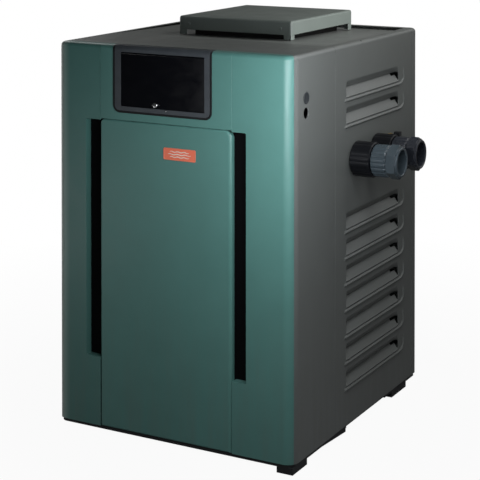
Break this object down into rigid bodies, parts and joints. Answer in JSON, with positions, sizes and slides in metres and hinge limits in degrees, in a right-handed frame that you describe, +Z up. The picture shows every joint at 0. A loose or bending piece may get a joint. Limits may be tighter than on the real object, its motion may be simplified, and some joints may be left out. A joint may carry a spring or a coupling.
{
  "type": "gas pool heater",
  "caption": "Floor-standing gas pool heater: green fronted sheet-metal cabinet with louvred sides, top vent cap, windowed control panel, lift-off door and side water unions.",
  "frame": {"origin": "bottom centre of the whole object's bounding box, on the floor", "axes": "+Z up, -Y is the front with the door and the control window, +X is the side with the water unions"},
  "size_m": [0.795, 0.741, 1.004],
  "materials": {
    "green_paint": "satin powder coat",
    "grey_paint": "satin powder coat",
    "cap_paint": "satin powder coat",
    "black_base": "matte",
    "bezel_plastic": "satin",
    "smoked_window": "gloss smoked",
    "badge_enamel": "satin",
    "chrome": "polished",
    "union_black": "satin",
    "union_grey": "satin",
    "fascia_grey": "fine texture",
    "display_glass": "gloss",
    "button_rubber": "matte",
    "board_green": "solder mask",
    "cable_rubber": "matte",
    "transformer_steel": "laminated steel",
    "module_plastic": "matte",
    "header_polymer": "moulded",
    "copper": "copper, bright",
    "brass": "machined",
    "spring_steel": "drawn wire",
    "galvanised": "galvanised sheet",
    "refractory": "fibrous board",
    "burner_steel": "heat-tinted steel",
    "black_iron": "black pipe",
    "valve_aluminium": "cast",
    "knob_plastic": "satin",
    "lever_black": "satin"
  },
  "bodies": {
    "cabinet": {"left_wing_panel": "green_paint", "right_wing_panel": "green_paint", "front_header_panel": "green_paint", "control_bezel": "bezel_plastic", "cover_hinge_pin": "chrome", "control_fascia": "fascia_grey", "display_lens": "display_glass", "control_board": "board_green", "front_cowl": "grey_paint", "knockout_plug": "bezel_plastic", "right_side_panel": "grey_paint", "left_side_panel": "grey_paint", "rear_panel": "grey_paint", "rear_deck": "grey_paint", "vent_collar": "black_iron", "vent_cap": "cap_paint", "base_pan": "black_base", "inlet_outlet_header": "header_polymer", "drain_plug": "brass", "return_header": "header_polymer", "pressure_switch": "valve_aluminium", "high_limit_switch": "module_plastic", "relief_valve_body": "brass", "inlet_union_body": "union_black", "outlet_union_body": "union_black", "inlet_tailpiece": "union_grey", "outlet_tailpiece": "union_grey", "firebox_shell": "galvanised", "refractory_liner": "refractory", "flue_collector": "galvanised", "burner_tray": "galvanised", "burner_tube_1": "burner_steel", "burner_tube_2": "burner_steel", "burner_tube_3": "burner_steel", "gas_manifold": "black_iron", "gas_valve": "valve_aluminium", "gas_supply_pipe": "black_iron", "pilot_igniter": "brass", "ignition_module": "module_plastic", "transformer": "transformer_steel", "wiring_harness": "cable_rubber", "finned_tube_1": "copper", "finned_tube_2": "copper", "finned_tube_3": "copper", "finned_tube_4": "copper", "finned_tube_5": "copper"},
    "access_door": {"access_door": "green_paint", "badge_plate": "badge_enamel"},
    "control_cover": {"control_cover": "smoked_window"},
    "cover_latch": {"cover_latch": "chrome"},
    "mode_button": {"mode_button": "button_rubber"},
    "temp_up_button": {"temp_up_button": "button_rubber"},
    "temp_down_button": {"temp_down_button": "button_rubber"},
    "gas_valve_knob": {"gas_valve_knob": "knob_plastic"},
    "relief_lever": {"relief_valve_lever": "lever_black"},
    "relief_stem": {"relief_valve_stem": "spring_steel"},
    "bypass_poppet": {"bypass_valve": "brass", "bypass_spring": "spring_steel"},
    "inlet_nut": {"inlet_union_nut": "union_grey"},
    "outlet_nut": {"outlet_union_nut": "union_grey"}
  },
  "joints": [
    {"name": "door_lift_off", "type": "slide", "parent": "cabinet", "child": "access_door", "axis": [0, -1, 0], "range_m": [0, 0.25]},
    {"name": "cover_hinge", "type": "hinge", "parent": "cabinet", "child": "control_cover", "pos_m": [-0.07475, -0.36, 0.935], "axis": [-1, 0, 0], "range_deg": [0, 105]},
    {"name": "cover_latch_turn", "type": "hinge", "parent": "control_cover", "child": "cover_latch", "pos_m": [-0.0925, -0.3625, 0.817], "axis": [0, 1, 0], "range_deg": [0, 90]},
    {"name": "mode_press", "type": "slide", "parent": "cabinet", "child": "mode_button", "axis": [0, 1, 0], "range_m": [0, 0.0015]},
    {"name": "temp_up_press", "type": "slide", "parent": "cabinet", "child": "temp_up_button", "axis": [0, 1, 0], "range_m": [0, 0.0015]},
    {"name": "temp_down_press", "type": "slide", "parent": "cabinet", "child": "temp_down_button", "axis": [0, 1, 0], "range_m": [0, 0.0015]},
    {"name": "gas_knob_turn", "type": "hinge", "parent": "cabinet", "child": "gas_valve_knob", "pos_m": [-0.2745, -0.3029, 0.142], "axis": [0, -1, 0], "range_deg": [0, 90]},
    {"name": "relief_lever_lift", "type": "hinge", "parent": "cabinet", "child": "relief_lever", "pos_m": [0.2795, 0.1805, 0.6955], "axis": [0, -1, 0], "range_deg": [0, 70]},
    {"name": "relief_stem_rise", "type": "slide", "parent": "cabinet", "child": "relief_stem", "axis": [0, 0, 1], "range_m": [0, 0.0042]},
    {"name": "bypass_open", "type": "slide", "parent": "cabinet", "child": "bypass_poppet", "axis": [0, 1, 0], "range_m": [0, 0.006]},
    {"name": "inlet_nut_turn", "type": "hinge", "parent": "cabinet", "child": "inlet_nut", "pos_m": [0.3475, -0.0225, 0.668], "axis": [1, 0, 0], "continuous": true},
    {"name": "outlet_nut_turn", "type": "hinge", "parent": "cabinet", "child": "outlet_nut", "pos_m": [0.3475, 0.0995, 0.668], "axis": [1, 0, 0], "continuous": true}
  ],
  "couplings": [
    {"joint": "relief_stem_rise", "follows": "relief_lever_lift", "m_per_rad": 0.0033}
  ]
}
